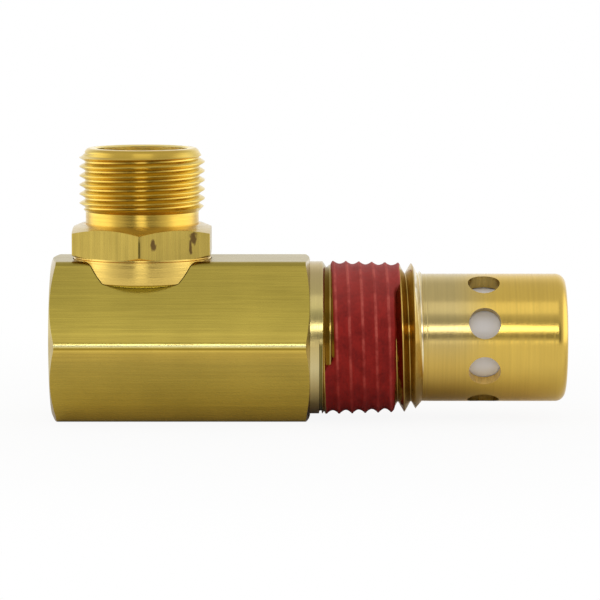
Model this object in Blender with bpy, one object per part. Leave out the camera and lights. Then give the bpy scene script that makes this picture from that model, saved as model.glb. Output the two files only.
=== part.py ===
"""In-tank non-return valve for an air line: a hex bar body with a ported nose and a screwed-in side inlet.

Metres, +Z up. The body's axis runs along X with the nose at +X, and the inlet points up.
The origin lies midway along the valve, on the plane of the body's lower flat.
"""

import math

import bmesh
import bpy
from mathutils import Matrix, Vector

MM = 0.001

# Hexagonal bar end of the body
HEX_ACROSS_FLATS = 22.225 * MM
HEX_LENGTH = 35.7 * MM
HEX_CORNER_RADIUS = 1.5 * MM
HEX_FACE_INSET = 1.0 * MM
HEX_CHAMFER_ANGLE = math.radians(19.0)

# Turned collar and tank thread, a taper pipe thread whose teeth stand clear of the sealant at the nose end
COLLAR_STEP = 0.5 * MM
COLLAR_LENGTH = 2.05 * MM
COLLAR_CHAMFER = 0.55 * MM
RUNOUT_DEPTH = 0.85 * MM
RUNOUT_WIDTH = 0.5 * MM
TANK_THREAD_DIAMETER = 21.34 * MM
TANK_THREAD_LENGTH = 13.0 * MM
TANK_THREAD_TAPER = 1 / 16
TANK_THREAD_PITCH = 25.4 / 14 * MM
TANK_THREAD_DEPTH = 1.25 * MM
TANK_THREAD_CHAMFER = 1.2 * MM
TANK_THREAD_EXIT = math.radians(116.5)
SEALANT_DEPTH = 0.75 * MM
SEALANT_LENGTH = 9.0 * MM
SEALANT_GAP = 0.15 * MM
SEALANT_EDGE = 0.25 * MM

# Ported nose, the chamber in it and the rolled lip that closes it
NOSE_DIAMETER = 17.75 * MM
NOSE_LENGTH = 20.0 * MM
NOSE_WALL = 1.725 * MM
NOSE_EDGE_RADIUS = 1.2 * MM
SIDE_PORT_COUNT = 8
SIDE_PORT_DIAMETER = 4.4 * MM
SIDE_PORT_FROM_SEAT = 4.5 * MM
SIDE_PORT_FIRST_ANGLE = math.radians(19.0)
FLOW_BORE_DIAMETER = 9.5 * MM
FLOW_BORE_OVERRUN = 1.3 * MM
SEAT_FROM_THREAD = 4.0 * MM
SEAT_WIDTH = 1.25 * MM
PLUG_LEDGE = 0.35 * MM
PLUG_THICKNESS = 1.9 * MM
PLUG_GAP = 0.15 * MM
PLUG_CHAMFER = 0.3 * MM
PLUG_VENT_DIAMETER = 3.0 * MM
LIP_THICKNESS = 0.75 * MM
LIP_WIDTH = 1.0 * MM

# Poppet, a cup that slides in the chamber and shuts against the conical seat
POPPET_CLEARANCE = 0.15 * MM
POPPET_COVER = 0.4 * MM
POPPET_FACE_THICKNESS = 2.0 * MM
POPPET_SKIRT_WALL = 1.6 * MM
POPPET_EDGE = 0.3 * MM
SEAT_GAP = 0.2 * MM
POPPET_STOP_GAP = 0.3 * MM

# Return spring between the cup's floor and the plug
SPRING_WIRE_DIAMETER = 0.5 * MM
SPRING_SIDE_GAP = 0.5 * MM
SPRING_END_GAP = 0.15 * MM
SPRING_CLOSED_TURNS = 1
SPRING_ACTIVE_TURNS = 4.5
SPRING_CLOSED_PITCH = 0.65 * MM

# Side port in the body for the inlet fitting
INLET_FROM_END = 12.4 * MM
COUNTERBORE_DEPTH = 2.85 * MM
DRILL_POINT_ANGLE = math.radians(118.0)
PORT_FLOOR_BELOW_AXIS = 3.2 * MM
PORT_GAP = 0.15 * MM

# Inlet fitting: hexagon, neck and thread for a tube nut, with a stopped socket for the tube
FITTING_ACROSS_FLATS = 19.05 * MM
FITTING_CORNER_RADIUS = 0.4 * MM
FITTING_HEX_HEIGHT = 4.4 * MM
FITTING_FACE_INSET = 0.15 * MM
FITTING_CHAMFER_ANGLE = math.radians(30.0)
FITTING_STANDOFF = 0.45 * MM
NECK_LENGTH = 1.9 * MM
NECK_DEPTH = 0.85 * MM
TUBE_SOCKET_DIAMETER = 12.8 * MM
TUBE_SOCKET_DEPTH = 10.0 * MM
TUBE_SOCKET_WALL = 2.3 * MM
TUBE_THREAD_LENGTH = 8.6 * MM
TUBE_THREAD_PITCH = 25.4 / 20 * MM
TUBE_THREAD_DEPTH = 0.76 * MM
TUBE_THREAD_CHAMFER = 1.3 * MM
TUBE_THREAD_EXIT = math.radians(190.0)
MOUTH_CHAMFER = 0.2 * MM
FITTING_BORE_DIAMETER = 10.3 * MM
SHANK_WALL = 1.85 * MM
SHANK_LENGTH = 3.9 * MM
SHANK_CHAMFER = 0.5 * MM

# Facets
ROUND_SEGMENTS = 64
SIDE_PORT_SEGMENTS = 24
THREAD_SEGMENTS = 40
CORNER_STEPS = 4
LIP_STEPS = 5
WIRE_STEPS_PER_TURN = 20
WIRE_RESOLUTION = 2
CUTTER_OVERSHOOT = 1.0 * MM
THREAD_OVERLAP = 0.2 * MM
SMOOTH_ANGLE = math.radians(28.0)

# Stations along the body's axis, measured from the hexagon's plain end
HEX_RADIUS = HEX_ACROSS_FLATS / 2
COLLAR_RADIUS = HEX_RADIUS - COLLAR_STEP
COLLAR_END = HEX_LENGTH + COLLAR_LENGTH
RUNOUT_START = COLLAR_END + COLLAR_CHAMFER
THREAD_START = RUNOUT_START + RUNOUT_WIDTH
THREAD_END = RUNOUT_START + TANK_THREAD_LENGTH
SEALANT_START = THREAD_START + SEALANT_GAP
SEALANT_END = SEALANT_START + SEALANT_LENGTH
NOSE_END = THREAD_END + NOSE_LENGTH
NOSE_RADIUS = NOSE_DIAMETER / 2
CHAMBER_RADIUS = NOSE_RADIUS - NOSE_WALL
SEAT_STATION = THREAD_END + SEAT_FROM_THREAD
FLOW_BORE_RADIUS = FLOW_BORE_DIAMETER / 2
SIDE_PORT_STATION = SEAT_STATION + SIDE_PORT_FROM_SEAT
LIP_STATION = NOSE_END - LIP_THICKNESS
LEDGE_STATION = LIP_STATION - PLUG_THICKNESS - 2 * PLUG_GAP
PLUG_STATION = LEDGE_STATION + PLUG_GAP
PLUG_POCKET_RADIUS = CHAMBER_RADIUS + PLUG_LEDGE
LIP_RADIUS = PLUG_POCKET_RADIUS - LIP_WIDTH

# The poppet's skirt covers the side ports while the valve is shut
POPPET_RADIUS = CHAMBER_RADIUS - POPPET_CLEARANCE
SKIRT_START = SEAT_STATION + SEAT_GAP
SKIRT_END = SIDE_PORT_STATION + SIDE_PORT_DIAMETER / 2 + POPPET_COVER
POPPET_LIFT = PLUG_STATION - SKIRT_END - POPPET_STOP_GAP
CUP_RADIUS = POPPET_RADIUS - POPPET_SKIRT_WALL
CUP_FLOOR = SKIRT_START + POPPET_FACE_THICKNESS

# Heights above the body's axis
SHOULDER_RADIUS = FITTING_ACROSS_FLATS / 2
COUNTERBORE_RADIUS = SHOULDER_RADIUS + PORT_GAP
COUNTERBORE_EDGE = HEX_RADIUS - COUNTERBORE_DEPTH
CONE_SLOPE = math.tan(math.pi / 2 - DRILL_POINT_ANGLE / 2)
FITTING_BORE_RADIUS = FITTING_BORE_DIAMETER / 2
SHANK_RADIUS = FITTING_BORE_RADIUS + SHANK_WALL
PORT_RADIUS = SHANK_RADIUS + PORT_GAP
PORT_MOUTH = COUNTERBORE_EDGE - (COUNTERBORE_RADIUS - PORT_RADIUS) * CONE_SLOPE
FITTING_HEX_BOTTOM = HEX_RADIUS + FITTING_STANDOFF
FITTING_HEX_TOP = FITTING_HEX_BOTTOM + FITTING_HEX_HEIGHT
TUBE_THREAD_START = FITTING_HEX_TOP + NECK_LENGTH
RIM_TOP = TUBE_THREAD_START + TUBE_THREAD_LENGTH
TUBE_SOCKET_RADIUS = TUBE_SOCKET_DIAMETER / 2
TUBE_THREAD_RADIUS = TUBE_SOCKET_RADIUS + TUBE_SOCKET_WALL
NECK_RADIUS = TUBE_THREAD_RADIUS - NECK_DEPTH

SHAPED_HEX = (0.402, 0.301, 0.077)
TURNED_BRASS = (0.527, 0.376, 0.107)
SEALANT_RED = (0.262, 0.020, 0.014)
PTFE_WHITE = (0.72, 0.70, 0.72)
SPRING_STEEL = (0.56, 0.57, 0.58)


def clear_scene():
    for obj in list(bpy.data.objects):
        bpy.data.objects.remove(obj, do_unlink=True)


def make_material(name, colour, roughness, metallic):
    material = bpy.data.materials.new(name)
    material.use_nodes = True
    shader = material.node_tree.nodes["Principled BSDF"]
    shader.inputs["Base Color"].default_value = (*colour, 1.0)
    shader.inputs["Roughness"].default_value = roughness
    shader.inputs["Metallic"].default_value = metallic
    return material


def make_axis(name, location, rotation):
    axis = bpy.data.objects.new(name, None)
    axis.location = location
    axis.rotation_euler = rotation
    bpy.context.scene.collection.objects.link(axis)
    return axis


def place(obj, parent, along, material=None):
    """Puts an object on its parent's axis, this far along it."""
    obj.parent = parent
    obj.location = (0.0, 0.0, along)
    if material:
        obj.data.materials.append(material)
    return obj


def as_tool(obj):
    """Marks an object as one that only shapes another."""
    obj.hide_render = True
    obj.display_type = "WIRE"
    return obj


def shape_with(obj, tool, operation):
    modifier = obj.modifiers.new(tool.name, "BOOLEAN")
    modifier.operation = operation
    modifier.solver = "EXACT"
    modifier.object = tool


def finish_mesh(name, bm):
    bmesh.ops.recalc_face_normals(bm, faces=bm.faces)
    mesh = bpy.data.meshes.new(name)
    bm.to_mesh(mesh)
    bm.free()
    mesh.shade_smooth()
    mesh.set_sharp_from_angle(angle=SMOOTH_ANGLE)
    obj = bpy.data.objects.new(name, mesh)
    bpy.context.scene.collection.objects.link(obj)
    return obj


def turned(name, profile):
    """Spins a closed outline of (radius, height) points round Z, with a facet's middle on each symmetry plane."""
    bm = bmesh.new()
    corners = [bm.verts.new((radius, 0.0, height)) for radius, height in profile]
    for start, end in zip(corners, corners[1:] + corners[:1]):
        if start.co.x > 0.0 or end.co.x > 0.0:
            bm.edges.new((start, end))
    bmesh.ops.spin(
        bm,
        geom=bm.verts[:] + bm.edges[:],
        axis=(0.0, 0.0, 1.0),
        cent=(0.0, 0.0, 0.0),
        angle=math.tau,
        steps=ROUND_SEGMENTS,
        use_merge=True,
    )
    bmesh.ops.remove_doubles(bm, verts=bm.verts, dist=0.001 * MM)
    half_facet = Matrix.Rotation(math.pi / ROUND_SEGMENTS, 3, "Z")
    bmesh.ops.rotate(bm, verts=bm.verts, cent=(0.0, 0.0, 0.0), matrix=half_facet)
    return finish_mesh(name, bm)


def arc(centre, radius, start, end, steps):
    """Points of an arc in a profile's plane, both ends included."""
    points = []
    for step in range(steps + 1):
        angle = start + (end - start) * step / steps
        points.append((centre[0] + radius * math.cos(angle), centre[1] + radius * math.sin(angle)))
    return points


def hexagon_outline(across_flats, corner_radius, first_corner):
    """A hexagon with rounded corners, the first of them at the angle given."""
    half_turn = math.pi / 6
    centre_distance = (across_flats / 2 - corner_radius) / math.cos(half_turn)
    outline = []
    for corner in range(6):
        direction = first_corner + corner * math.pi / 3
        centre = (centre_distance * math.cos(direction), centre_distance * math.sin(direction))
        outline += arc(centre, corner_radius, direction - half_turn, direction + half_turn, CORNER_STEPS)
    return outline


def hex_bar(name, outline, height):
    """A length of bar, left longer at both ends than the hexagon that is cut from it."""
    bm = bmesh.new()
    face = bm.faces.new([bm.verts.new((x, y, -CUTTER_OVERSHOOT)) for x, y in outline])
    top = bmesh.ops.extrude_face_region(bm, geom=[face])
    moved = [item for item in top["geom"] if isinstance(item, bmesh.types.BMVert)]
    bmesh.ops.translate(bm, verts=moved, vec=(0.0, 0.0, height + 2 * CUTTER_OVERSHOOT))
    return finish_mesh(name, bm)


def hex_envelope(name, across_flats, height, face_inset, chamfer_angle):
    """The turned solid that the bar is cut back to, which leaves a hexagon's end faces and chamfers."""
    face_radius = across_flats / 2 - face_inset
    outside = across_flats / math.sqrt(3.0) + CUTTER_OVERSHOOT
    drop = (outside - face_radius) * math.tan(chamfer_angle)
    profile = [
        (0.0, height),
        (face_radius, height),
        (outside, height - drop),
        (outside, drop),
        (face_radius, 0.0),
        (0.0, 0.0),
    ]
    return turned(name, profile)


def thread_radius(station):
    """Crest radius of the taper thread at a station along the body."""
    return TANK_THREAD_DIAMETER / 2 - (station - RUNOUT_START) * TANK_THREAD_TAPER / 2


def tube_thread_radius(station):
    """Crest radius of the tube thread, which is the same at every station."""
    return TUBE_THREAD_RADIUS


def helix_point(bm, angle, radius, station):
    return bm.verts.new((radius * math.cos(angle), radius * math.sin(angle), station))


def threaded_rod(name, pitch, depth, crest_radius, start, end, exit_angle):
    """A right-hand V thread round Z, over a turn longer than its stations at both ends.

    Its crest passes the end station at the exit angle.
    """
    bm = bmesh.new()
    turns = math.ceil((end - start) / pitch) + 3
    bottom = end - (turns - 1.5) * pitch
    steps = turns * THREAD_SEGMENTS
    roots = []
    crests = []
    for step in range(steps + THREAD_SEGMENTS + 1):
        angle = exit_angle + step * math.tau / THREAD_SEGMENTS
        low = bottom + pitch * step / THREAD_SEGMENTS
        high = low + pitch / 2
        roots.append(helix_point(bm, angle, crest_radius(low) - depth, low))
        if step <= steps:
            crests.append(helix_point(bm, angle, crest_radius(high), high))
    for step in range(steps):
        above = step + THREAD_SEGMENTS
        bm.faces.new((roots[step], roots[step + 1], crests[step + 1], crests[step]))
        bm.faces.new((crests[step], crests[step + 1], roots[above + 1], roots[above]))
    for first in (0, steps):
        rim = roots[first : first + THREAD_SEGMENTS + 1] + [crests[first]]
        centre = bm.verts.new((0.0, 0.0, roots[first].co.z + pitch / 2))
        for near, far in zip(rim, rim[1:] + rim[:1]):
            bm.faces.new((near, far, centre))
    return finish_mesh(name, bm)


def bare_tank_thread(valve_axis):
    """The teeth past the sealant, faced off beside it and chamfered where they meet the nose."""
    start = SEALANT_END + SEALANT_GAP
    core = thread_radius(start) - SEALANT_DEPTH
    outside = thread_radius(start) + THREAD_OVERLAP
    end_radius = thread_radius(THREAD_END) - TANK_THREAD_CHAMFER
    profile = [
        (0.0, start - THREAD_OVERLAP / 4),
        (core - 2 * THREAD_OVERLAP, start - THREAD_OVERLAP / 4),
        (outside, start + THREAD_OVERLAP),
        (outside, THREAD_END - (outside - end_radius)),
        (end_radius, THREAD_END),
        (0.0, THREAD_END),
    ]
    thread = threaded_rod(
        "tank_thread",
        TANK_THREAD_PITCH,
        TANK_THREAD_DEPTH,
        thread_radius,
        start,
        THREAD_END,
        TANK_THREAD_EXIT,
    )
    place(thread, valve_axis, 0.0)
    envelope = as_tool(place(turned("tank_thread_envelope", profile), valve_axis, 0.0))
    shape_with(thread, envelope, "INTERSECT")
    return as_tool(thread)


def body_turning():
    """Collar, run-out groove, sealed core and nose with its rolled edge, rooted inside the hexagon."""
    root = HEX_LENGTH - 2 * COLLAR_LENGTH
    core_start = thread_radius(THREAD_START) - SEALANT_DEPTH
    core_end = thread_radius(SEALANT_END + SEALANT_GAP) - SEALANT_DEPTH
    edge_centre = (NOSE_RADIUS - NOSE_EDGE_RADIUS, NOSE_END - NOSE_EDGE_RADIUS)
    profile = [
        (0.0, root),
        (COLLAR_RADIUS, root),
        (COLLAR_RADIUS, COLLAR_END),
        (COLLAR_RADIUS - RUNOUT_DEPTH, RUNOUT_START),
        (COLLAR_RADIUS - RUNOUT_DEPTH, THREAD_START),
        (core_start, THREAD_START),
        (core_end, SEALANT_END + SEALANT_GAP),
        (NOSE_RADIUS, SEALANT_END + SEALANT_GAP),
    ]
    profile += arc(edge_centre, NOSE_EDGE_RADIUS, 0.0, math.pi / 2, LIP_STEPS)
    profile.append((0.0, NOSE_END))
    return turned("body_turning", profile)


def body_bore():
    """Flow bore, conical seat, chamber and plug pocket, open past the lip."""
    bore_end = INLET_FROM_END - FLOW_BORE_OVERRUN
    profile = [
        (0.0, bore_end - FLOW_BORE_RADIUS * CONE_SLOPE),
        (FLOW_BORE_RADIUS, bore_end),
        (FLOW_BORE_RADIUS, SEAT_STATION - SEAT_WIDTH),
        (FLOW_BORE_RADIUS + SEAT_WIDTH, SEAT_STATION),
        (CHAMBER_RADIUS, SEAT_STATION),
        (CHAMBER_RADIUS, LEDGE_STATION),
        (PLUG_POCKET_RADIUS, LEDGE_STATION),
        (PLUG_POCKET_RADIUS, LIP_STATION),
        (LIP_RADIUS, LIP_STATION),
        (LIP_RADIUS, NOSE_END + CUTTER_OVERSHOOT),
        (0.0, NOSE_END + CUTTER_OVERSHOOT),
    ]
    return turned("body_bore", profile)


def inlet_port():
    """Counterbore with a drill-cone floor, and the drilled hole under it that meets the flow bore."""
    top = HEX_RADIUS + CUTTER_OVERSHOOT
    profile = [
        (0.0, top),
        (COUNTERBORE_RADIUS, top),
        (COUNTERBORE_RADIUS, COUNTERBORE_EDGE),
        (PORT_RADIUS, PORT_MOUTH),
        (PORT_RADIUS, -PORT_FLOOR_BELOW_AXIS),
        (0.0, -PORT_FLOOR_BELOW_AXIS - PORT_RADIUS * CONE_SLOPE),
    ]
    return turned("inlet_port", profile)


def side_ports():
    """Radial drillings through the nose wall. The axis object turns local X to world -Z."""
    bm = bmesh.new()
    start = CHAMBER_RADIUS - CUTTER_OVERSHOOT
    depth = NOSE_RADIUS + CUTTER_OVERSHOOT - start
    for index in range(SIDE_PORT_COUNT):
        angle = SIDE_PORT_FIRST_ANGLE + index * math.tau / SIDE_PORT_COUNT
        outwards = Vector((-math.sin(angle), -math.cos(angle), 0.0))
        turn = outwards.to_track_quat("Z", "Y").to_matrix().to_4x4()
        middle = outwards * (start + depth / 2)
        bmesh.ops.create_cone(
            bm,
            cap_ends=True,
            segments=SIDE_PORT_SEGMENTS,
            radius1=SIDE_PORT_DIAMETER / 2,
            radius2=SIDE_PORT_DIAMETER / 2,
            depth=depth,
            matrix=Matrix.Translation(middle) @ turn,
        )
    return finish_mesh("side_ports", bm)


def make_valve_body(valve_axis, inlet_axis, hex_brass):
    outline = hexagon_outline(HEX_ACROSS_FLATS, HEX_CORNER_RADIUS, math.pi / 2)
    body = place(hex_bar("valve_body", outline, HEX_LENGTH), valve_axis, 0.0, hex_brass)
    envelope = hex_envelope(
        "body_hex_envelope", HEX_ACROSS_FLATS, HEX_LENGTH, HEX_FACE_INSET, HEX_CHAMFER_ANGLE
    )
    shape_with(body, as_tool(place(envelope, valve_axis, 0.0)), "INTERSECT")
    shape_with(body, as_tool(place(body_turning(), valve_axis, 0.0)), "UNION")
    shape_with(body, bare_tank_thread(valve_axis), "UNION")
    shape_with(body, as_tool(place(body_bore(), valve_axis, 0.0)), "DIFFERENCE")
    shape_with(body, as_tool(place(side_ports(), valve_axis, SIDE_PORT_STATION)), "DIFFERENCE")
    shape_with(body, as_tool(place(inlet_port(), inlet_axis, 0.0)), "DIFFERENCE")


def tube_thread(inlet_axis):
    """The thread for the tube nut, chamfered at the neck and at the rim."""
    inside = NECK_RADIUS - THREAD_OVERLAP
    outside = TUBE_THREAD_RADIUS + THREAD_OVERLAP
    rim = TUBE_THREAD_RADIUS - TUBE_THREAD_CHAMFER
    profile = [
        (0.0, TUBE_THREAD_START - THREAD_OVERLAP),
        (inside, TUBE_THREAD_START - THREAD_OVERLAP),
        (outside, TUBE_THREAD_START - THREAD_OVERLAP + outside - inside),
        (outside, RIM_TOP - (outside - rim)),
        (rim, RIM_TOP),
        (0.0, RIM_TOP),
    ]
    thread = threaded_rod(
        "tube_thread",
        TUBE_THREAD_PITCH,
        TUBE_THREAD_DEPTH,
        tube_thread_radius,
        TUBE_THREAD_START,
        RIM_TOP,
        TUBE_THREAD_EXIT,
    )
    place(thread, inlet_axis, 0.0)
    envelope = as_tool(place(turned("tube_thread_envelope", profile), inlet_axis, 0.0))
    shape_with(thread, envelope, "INTERSECT")
    return as_tool(thread)


def fitting_turning():
    """Shank, shoulder and neck of the inlet fitting, without its hexagon, thread or bore."""
    cone_rise = PORT_GAP / math.sin(DRILL_POINT_ANGLE / 2)
    cone_top = COUNTERBORE_EDGE - PORT_GAP * CONE_SLOPE + cone_rise
    cone_bottom = cone_top - (SHOULDER_RADIUS - SHANK_RADIUS) * CONE_SLOPE
    shank_end = cone_bottom - SHANK_LENGTH
    hex_middle = FITTING_HEX_BOTTOM + FITTING_HEX_HEIGHT / 2
    profile = [
        (0.0, shank_end),
        (SHANK_RADIUS - SHANK_CHAMFER, shank_end),
        (SHANK_RADIUS, shank_end + SHANK_CHAMFER),
        (SHANK_RADIUS, cone_bottom),
        (SHOULDER_RADIUS - FITTING_FACE_INSET, cone_top - FITTING_FACE_INSET * CONE_SLOPE),
        (SHOULDER_RADIUS - FITTING_FACE_INSET, hex_middle),
        (NECK_RADIUS, hex_middle),
        (NECK_RADIUS, TUBE_THREAD_START + THREAD_OVERLAP),
        (0.0, TUBE_THREAD_START + THREAD_OVERLAP),
    ]
    return turned("fitting_turning", profile)


def fitting_bore():
    """Tube socket with its mouth chamfer, the stop at its floor and the bore below."""
    mouth_radius = TUBE_SOCKET_RADIUS + MOUTH_CHAMFER
    socket_floor = RIM_TOP - TUBE_SOCKET_DEPTH
    profile = [
        (0.0, RIM_TOP + CUTTER_OVERSHOOT),
        (mouth_radius + CUTTER_OVERSHOOT, RIM_TOP + CUTTER_OVERSHOOT),
        (TUBE_SOCKET_RADIUS, RIM_TOP - MOUTH_CHAMFER),
        (TUBE_SOCKET_RADIUS, socket_floor),
        (FITTING_BORE_RADIUS, socket_floor),
        (FITTING_BORE_RADIUS, -HEX_RADIUS),
        (0.0, -HEX_RADIUS),
    ]
    return turned("fitting_bore", profile)


def make_inlet_fitting(inlet_axis, turned_brass):
    outline = hexagon_outline(FITTING_ACROSS_FLATS, FITTING_CORNER_RADIUS, math.pi / 2)
    fitting = hex_bar("inlet_fitting", outline, FITTING_HEX_HEIGHT)
    place(fitting, inlet_axis, FITTING_HEX_BOTTOM, turned_brass)
    envelope = hex_envelope(
        "fitting_hex_envelope",
        FITTING_ACROSS_FLATS,
        FITTING_HEX_HEIGHT,
        FITTING_FACE_INSET,
        FITTING_CHAMFER_ANGLE,
    )
    shape_with(fitting, as_tool(place(envelope, inlet_axis, FITTING_HEX_BOTTOM)), "INTERSECT")
    shape_with(fitting, as_tool(place(fitting_turning(), inlet_axis, 0.0)), "UNION")
    shape_with(fitting, tube_thread(inlet_axis), "UNION")
    shape_with(fitting, as_tool(place(fitting_bore(), inlet_axis, 0.0)), "DIFFERENCE")


def make_thread_sealant(valve_axis, sealant_red):
    """The band of sealant, filling the thread from its core to its crests."""
    inner_start = thread_radius(SEALANT_START) - SEALANT_DEPTH + SEALANT_GAP
    inner_end = thread_radius(SEALANT_END) - SEALANT_DEPTH + SEALANT_GAP
    profile = [
        (inner_start, SEALANT_START),
        (thread_radius(SEALANT_START) - SEALANT_EDGE, SEALANT_START),
        (thread_radius(SEALANT_START + SEALANT_EDGE), SEALANT_START + SEALANT_EDGE),
        (thread_radius(SEALANT_END - SEALANT_EDGE), SEALANT_END - SEALANT_EDGE),
        (thread_radius(SEALANT_END) - SEALANT_EDGE, SEALANT_END),
        (inner_end, SEALANT_END),
    ]
    place(turned("thread_sealant", profile), valve_axis, 0.0, sealant_red)


def make_poppet(valve_axis, ptfe_white):
    """Cup with a conical nose, its origin on the slide's axis at the skirt's front edge. It opens towards +X."""
    cone_gap = SEAT_GAP * math.sqrt(2.0) - SEAT_GAP
    cone_base = FLOW_BORE_RADIUS + SEAT_WIDTH - cone_gap
    cone_height = SEAT_WIDTH - SEAT_GAP
    skirt = SKIRT_END - SKIRT_START
    profile = [
        (0.0, -cone_height),
        (cone_base - cone_height, -cone_height),
        (cone_base, 0.0),
        (POPPET_RADIUS - POPPET_EDGE, 0.0),
        (POPPET_RADIUS, POPPET_EDGE),
        (POPPET_RADIUS, skirt - POPPET_EDGE),
        (POPPET_RADIUS - POPPET_EDGE, skirt),
        (CUP_RADIUS, skirt),
        (CUP_RADIUS, POPPET_FACE_THICKNESS),
        (0.0, POPPET_FACE_THICKNESS),
    ]
    poppet = place(turned("poppet", profile), valve_axis, SKIRT_START, ptfe_white)
    poppet["lift"] = POPPET_LIFT


def make_end_plug(valve_axis, turned_brass):
    """Disc held between the chamber's ledge and the rolled lip, with a vent to the tank."""
    radius = PLUG_POCKET_RADIUS - PLUG_GAP
    vent = PLUG_VENT_DIAMETER / 2
    profile = [
        (vent, 0.0),
        (radius - PLUG_CHAMFER, 0.0),
        (radius, PLUG_CHAMFER),
        (radius, PLUG_THICKNESS - PLUG_CHAMFER),
        (radius - PLUG_CHAMFER, PLUG_THICKNESS),
        (vent, PLUG_THICKNESS),
    ]
    place(turned("end_plug", profile), valve_axis, PLUG_STATION, turned_brass)


def spring_rise(turn):
    """Height of the wire's centre after this many turns, close-wound at both ends."""
    wire = SPRING_WIRE_DIAMETER
    length = PLUG_STATION - CUP_FLOOR - 2 * SPRING_END_GAP - wire
    active_pitch = (length - 2 * SPRING_CLOSED_TURNS * SPRING_CLOSED_PITCH) / SPRING_ACTIVE_TURNS
    first = min(turn, SPRING_CLOSED_TURNS)
    active = min(max(turn - SPRING_CLOSED_TURNS, 0.0), SPRING_ACTIVE_TURNS)
    last = max(turn - SPRING_CLOSED_TURNS - SPRING_ACTIVE_TURNS, 0.0)
    return (first + last) * SPRING_CLOSED_PITCH + active * active_pitch


def make_return_spring(valve_axis, spring_steel):
    radius = CUP_RADIUS - SPRING_SIDE_GAP - SPRING_WIRE_DIAMETER / 2
    turns = 2 * SPRING_CLOSED_TURNS + SPRING_ACTIVE_TURNS
    steps = round(turns * WIRE_STEPS_PER_TURN)
    curve = bpy.data.curves.new("return_spring", "CURVE")
    curve.dimensions = "3D"
    curve.bevel_depth = SPRING_WIRE_DIAMETER / 2
    curve.bevel_resolution = WIRE_RESOLUTION
    curve.use_fill_caps = True
    wire = curve.splines.new("POLY")
    wire.points.add(steps)
    for step, point in enumerate(wire.points):
        turn = turns * step / steps
        angle = turn * math.tau
        point.co = (radius * math.cos(angle), radius * math.sin(angle), spring_rise(turn), 1.0)
    spring = bpy.data.objects.new("return_spring", curve)
    bpy.context.scene.collection.objects.link(spring)
    start = CUP_FLOOR + SPRING_END_GAP + SPRING_WIRE_DIAMETER / 2
    place(spring, valve_axis, start, spring_steel)


def build():
    clear_scene()
    hex_brass = make_material("drawn_brass", SHAPED_HEX, 0.34, 1.0)
    turned_brass = make_material("turned_brass", TURNED_BRASS, 0.26, 1.0)
    sealant_red = make_material("thread_sealant", SEALANT_RED, 0.62, 0.0)
    ptfe_white = make_material("ptfe", PTFE_WHITE, 0.45, 0.0)
    spring_steel = make_material("spring_steel", SPRING_STEEL, 0.28, 1.0)
    hex_end = -NOSE_END / 2
    valve_axis = make_axis("valve_axis", (hex_end, 0.0, HEX_RADIUS), (0.0, math.pi / 2, 0.0))
    inlet_axis = make_axis("inlet_axis", (hex_end + INLET_FROM_END, 0.0, HEX_RADIUS), (0.0, 0.0, 0.0))
    make_valve_body(valve_axis, inlet_axis, hex_brass)
    make_inlet_fitting(inlet_axis, turned_brass)
    make_thread_sealant(valve_axis, sealant_red)
    make_poppet(valve_axis, ptfe_white)
    make_end_plug(valve_axis, turned_brass)
    make_return_spring(valve_axis, spring_steel)


build()
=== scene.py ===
# %% [markdown]
# # A brass non-return valve for an air tank
# The valve screws into the top of a compressor's tank. Air comes in through the upright fitting, lifts a
# white poppet off its seat and leaves through the ring of ports in the nose. A spring shuts the poppet
# when the compressor stops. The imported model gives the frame, and every piece below is fitted around it.

# %% Load the frame
import math

import bpy
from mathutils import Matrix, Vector, noise


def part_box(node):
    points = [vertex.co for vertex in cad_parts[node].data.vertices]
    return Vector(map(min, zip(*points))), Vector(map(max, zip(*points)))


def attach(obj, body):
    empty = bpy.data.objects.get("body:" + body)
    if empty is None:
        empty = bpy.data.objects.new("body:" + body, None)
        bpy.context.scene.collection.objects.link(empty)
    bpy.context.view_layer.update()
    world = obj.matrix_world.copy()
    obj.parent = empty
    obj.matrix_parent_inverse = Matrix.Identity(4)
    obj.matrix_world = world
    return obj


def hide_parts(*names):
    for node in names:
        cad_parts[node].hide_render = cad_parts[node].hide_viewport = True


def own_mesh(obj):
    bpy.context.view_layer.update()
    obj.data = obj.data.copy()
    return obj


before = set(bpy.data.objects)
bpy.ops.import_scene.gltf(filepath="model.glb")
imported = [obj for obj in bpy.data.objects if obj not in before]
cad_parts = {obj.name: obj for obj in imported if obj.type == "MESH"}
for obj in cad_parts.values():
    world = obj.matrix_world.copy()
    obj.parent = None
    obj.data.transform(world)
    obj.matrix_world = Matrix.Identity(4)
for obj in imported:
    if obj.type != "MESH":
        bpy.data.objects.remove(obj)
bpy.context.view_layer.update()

MM = 0.001
hex_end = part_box("valve_body")[0].x
rest_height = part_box("valve_body")[0].z

# %% [markdown]
# ## The camera
# The valve was photographed square on to its axis with a long lens, from about six degrees above. A far
# camera with a narrow view keeps the hexagon's edges parallel. The camera is aimed at the middle of the
# picture, and nothing else in the scene depends on it.

# %% Camera
AIM = Vector((-1.24, 0.0, 16.33)) * MM
VIEW_DISTANCE = 543.0 * MM
VIEW_ELEVATION = math.radians(5.8)
LENS = 234.0
SENSOR = 36.0


def on_sphere(azimuth, elevation, distance):
    """A point this far from the valve. Azimuth 0 is in front, and 90 is off the nose."""
    turn = math.radians(azimuth)
    rise = math.radians(elevation)
    level = distance * math.cos(rise)
    return AIM + Vector((level * math.sin(turn), -level * math.cos(turn), distance * math.sin(rise)))


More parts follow.
